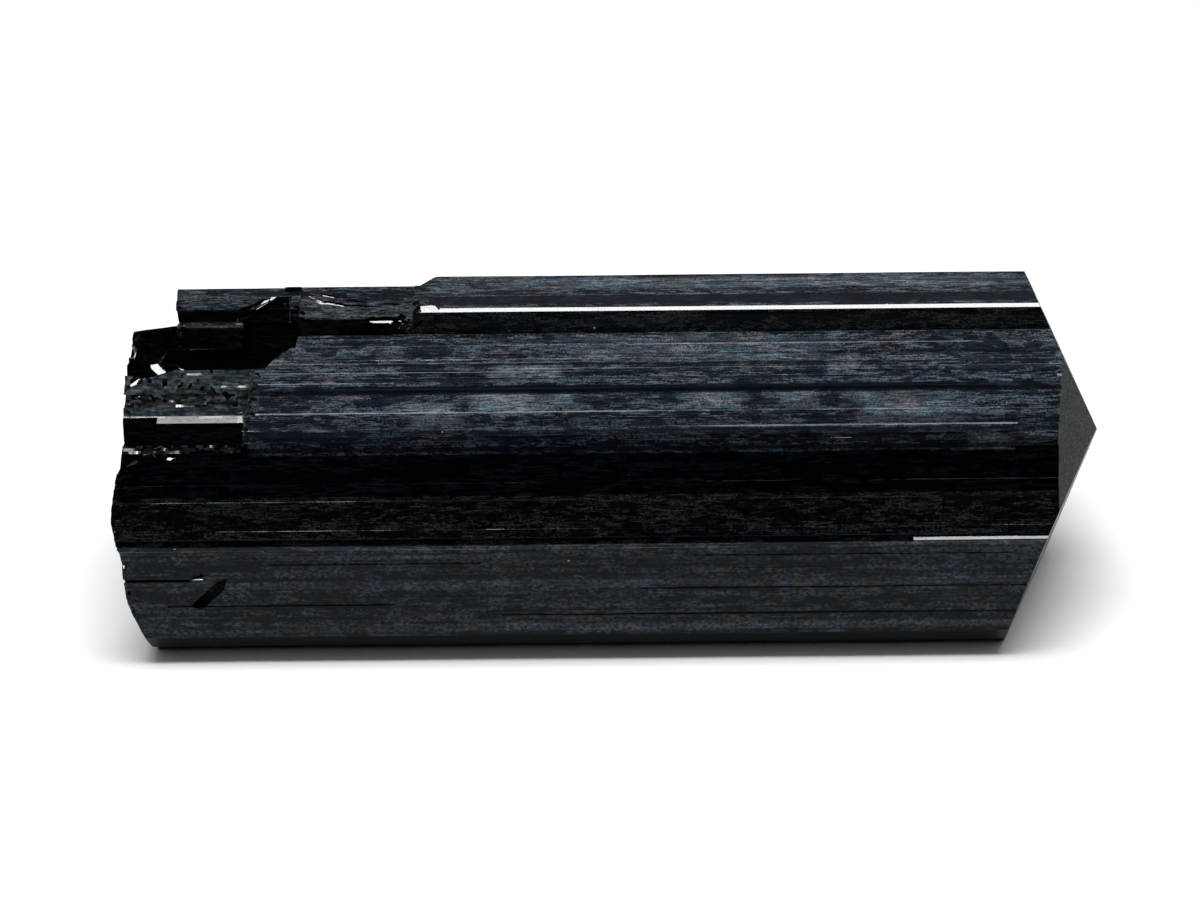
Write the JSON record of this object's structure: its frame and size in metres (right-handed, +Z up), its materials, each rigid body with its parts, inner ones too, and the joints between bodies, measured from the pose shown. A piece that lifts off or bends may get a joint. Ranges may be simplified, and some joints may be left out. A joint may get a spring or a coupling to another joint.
{
  "type": "tourmaline crystal",
  "caption": "Black tourmaline prism with ribs along its length, a three-faced natural point and a broken stepped end, lying on a wide face",
  "frame": {"origin": "middle of the bounding box, on the surface that the crystal rests on", "axes": "+X along the crystal's length towards its point, +Z up, the ribbed plate and broken ledges face -Y"},
  "size_m": [0.058, 0.0213, 0.019],
  "materials": {
    "black_tourmaline": "glassy, striated along the length, opaque near black"
  },
  "bodies": {
    "root": {"tourmaline_crystal": "black_tourmaline"}
  },
  "joints": []
}
